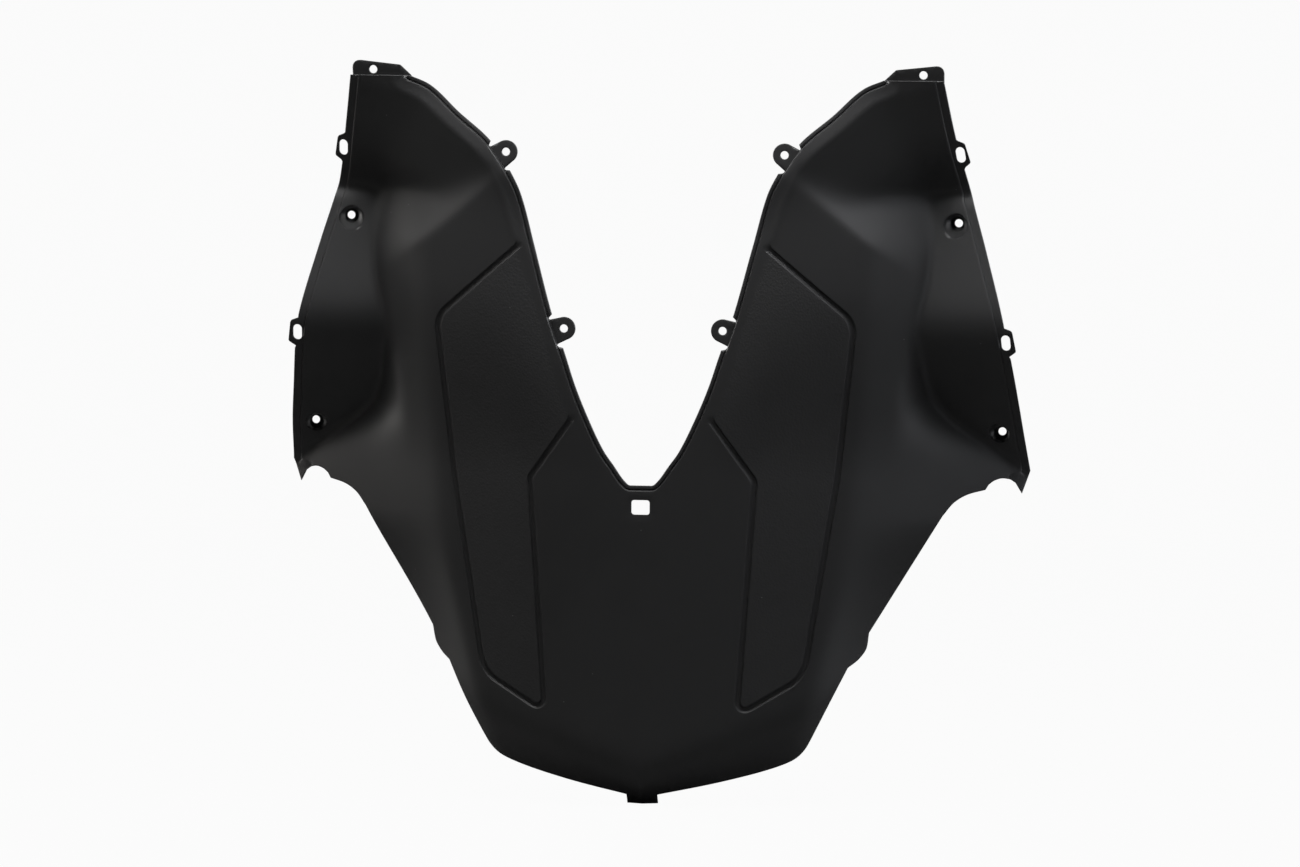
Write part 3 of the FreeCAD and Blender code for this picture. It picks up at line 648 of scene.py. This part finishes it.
def shieldObject():
    # all sheets and plates put into one mesh, in metres
    verts, faces, grain = mainSkin()
    pieces = [(verts, faces)] + earPlates() + topTabs()
    start = np.cumsum([0] + [len(v) for v, _ in pieces])
    allVerts = np.concatenate([v for v, _ in pieces])
    allFaces = np.concatenate([f + s for (_, f), s in zip(pieces, start)])
    mesh = bpy.data.meshes.new("legShieldBody")
    mesh.from_pydata((allVerts * 0.001).tolist(), [], allFaces.tolist())
    mesh.polygons.foreach_set("use_smooth", np.ones(len(mesh.polygons), bool))
    mesh.set_sharp_from_angle(angle=math.radians(skinMesh["sharpAngle"]))
    values = np.zeros(len(allVerts), np.float32)
    values[:len(grain)] = grain
    mesh.attributes.new("grain", "FLOAT", "POINT").data.foreach_set("value", values)
    mesh.materials.append(plasticMaterial())
    mesh.update()
    obj = bpy.data.objects.new("legShieldBody", mesh)
    bpy.context.scene.collection.objects.link(obj)
    print("shield", len(allVerts), "points", len(allFaces), "triangles")
    return obj


shield = shieldObject()
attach(shield, "root")
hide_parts("leg_shield")


# floor, backdrop, lights and camera

stageSetup = {
    "floorHeight": -0.3284, "floorSize": 12.0, "backdropDistance": 2.2,
    "paper": (0.15, 0.15, 0.15), "white": 0.96, "aim": (0.0, 0.03, -0.05),
    "warm": (1.0, 0.97, 0.94), "cool": (0.93, 0.95, 1.0), "plain": (1.0, 1.0, 1.0),
    "lamps": [  # name, colour, place, width, height, watts
        ("topBox", "plain", (0.0, -0.27, 0.70), 1.0, 0.4, 12.0),
        ("leftTopBox", "warm", (-0.9, -0.3, 0.9), 0.8, 0.8, 1.8),
        ("rightTopBox", "cool", (0.9, -0.3, 0.9), 0.8, 0.8, 3.3),
        ("leftBox", "warm", (-1.5, -0.3, 0.0), 1.2, 1.8, 2.2),
        ("rightBox", "cool", (1.5, -0.3, 0.0), 1.2, 1.8, 3.2),
        ("leftBackBox", "warm", (-1.5, 0.8, -0.05), 1.0, 1.5, 13.0),
        ("rightBackBox", "cool", (1.5, 0.8, -0.05), 1.0, 1.5, 13.0),
        ("frontBox", "plain", (0.0, -2.6, 0.5), 1.6, 1.6, 0.3),
    ],
}


def paperMaterial(name, mirrored):
    # dull paper that the camera sees as nearly white with part of its own shading left in;
    # the backdrop is white to reflections too, and clear from behind
    mat = bpy.data.materials.new(name)
    mat.use_nodes = True
    nodes, links = mat.node_tree.nodes, mat.node_tree.links
    nodes.clear()
    out = nodes.new("ShaderNodeOutputMaterial")
    path = nodes.new("ShaderNodeLightPath")
    seen = nodes.new("ShaderNodeMath")
    seen.operation = "MAXIMUM"
    part = nodes.new("ShaderNodeMath")
    part.operation = "MULTIPLY"
    part.inputs[1].default_value = stageSetup["white"]
    shade = nodes.new("ShaderNodeBsdfDiffuse")
    shade.inputs["Color"].default_value = (*stageSetup["paper"], 1)
    glow = nodes.new("ShaderNodeEmission")
    glow.inputs["Strength"].default_value = 1.0
    both = nodes.new("ShaderNodeMixShader")
    links.new(path.outputs["Is Camera Ray"], seen.inputs[0])
    links.new(path.outputs["Is Glossy Ray" if mirrored else "Is Transmission Ray"], seen.inputs[1])
    links.new(seen.outputs[0], part.inputs[0])
    links.new(part.outputs[0], both.inputs[0])
    links.new(shade.outputs[0], both.inputs[1])
    links.new(glow.outputs[0], both.inputs[2])
    clear = nodes.new("ShaderNodeBsdfTransparent")
    side = nodes.new("ShaderNodeNewGeometry")
    facing = nodes.new("ShaderNodeMixShader")
    links.new(side.outputs["Backfacing"], facing.inputs[0])
    links.new(both.outputs[0], facing.inputs[1])
    links.new(clear.outputs[0], facing.inputs[2])
    links.new(facing.outputs[0], out.inputs["Surface"])
    return mat


def sheet(name, corners, mirrored):
    # one flat four-cornered sheet of paper
    mesh = bpy.data.meshes.new(name)
    mesh.from_pydata(corners, [], [(0, 1, 2, 3)])
    mesh.materials.append(paperMaterial(name + "Paper", mirrored))
    obj = bpy.data.objects.new(name, mesh)
    bpy.context.scene.collection.objects.link(obj)
    return obj


def buildStage():
    # floor, upright backdrop, a world that only the camera sees, and area lamps turned to the aim
    s = stageSetup
    half, z, y = s["floorSize"] / 2, s["floorHeight"], s["backdropDistance"]
    sheet("floorSheet", [(-half, -half, z), (half, -half, z), (half, y, z), (-half, y, z)], False)
    sheet("backSheet", [(-half, y, z), (half, y, z), (half, y, z + half), (-half, y, z + half)], True)
    world = bpy.data.worlds.new("studio")
    world.use_nodes = True
    world.node_tree.nodes["Background"].inputs["Color"].default_value = (1, 1, 1, 1)
    path = world.node_tree.nodes.new("ShaderNodeLightPath")
    strength = world.node_tree.nodes["Background"].inputs["Strength"]
    world.node_tree.links.new(path.outputs["Is Camera Ray"], strength)
    bpy.context.scene.world = world
    for name, tint, place, width, height, watts in s["lamps"]:
        lamp = bpy.data.lights.new(name, "AREA")
        lamp.shape = "RECTANGLE"
        lamp.size, lamp.size_y, lamp.energy, lamp.color = width, height, watts, s[tint]
        obj = bpy.data.objects.new(name, lamp)
        obj.location = place
        obj.rotation_euler = (Vector(s["aim"]) - Vector(place)).to_track_quat("-Z", "Y").to_euler()
        bpy.context.scene.collection.objects.link(obj)


cameraSetup = {
    "yaw": 6.0, "height": 4.0, "roll": 0.6, "distance": 4.0, "scale": 0.00068,
    "originPixel": (642.9, 329.8), "frame": (1300, 867), "sensor": 36.0, "reach": 50.0,
}


def buildCamera():
    # looks at the point under the frame's middle, from the side and a little above, rolled slightly
    c = cameraSetup
    yaw, up, roll = (math.radians(c[k]) for k in ("yaw", "height", "roll"))
    look = Vector((-math.sin(yaw) * math.cos(up), math.cos(yaw) * math.cos(up), -math.sin(up)))
    right = Vector((math.cos(yaw), math.sin(yaw), 0))
    top = right.cross(look)
    right, top = right * math.cos(roll) + top * math.sin(roll), top * math.cos(roll) - right * math.sin(roll)
    dx = (c["frame"][0] / 2 - c["originPixel"][0]) * c["scale"]
    dy = (c["frame"][1] / 2 - c["originPixel"][1]) * c["scale"]
    place = right * dx - top * dy - look * c["distance"]
    cam = bpy.data.cameras.new("photoCamera")
    cam.sensor_width = c["sensor"]
    cam.lens = c["sensor"] * c["distance"] / (c["frame"][0] * c["scale"])
    cam.clip_end = c["reach"]
    obj = bpy.data.objects.new("photoCamera", cam)
    turn = Matrix((right, top, -look)).transposed()
    obj.matrix_world = Matrix.Translation(place) @ turn.to_4x4()
    bpy.context.scene.collection.objects.link(obj)
    bpy.context.scene.camera = obj


buildStage()
buildCamera()
bpy.context.scene.view_settings.view_transform = "Standard"
print("stage and camera set")
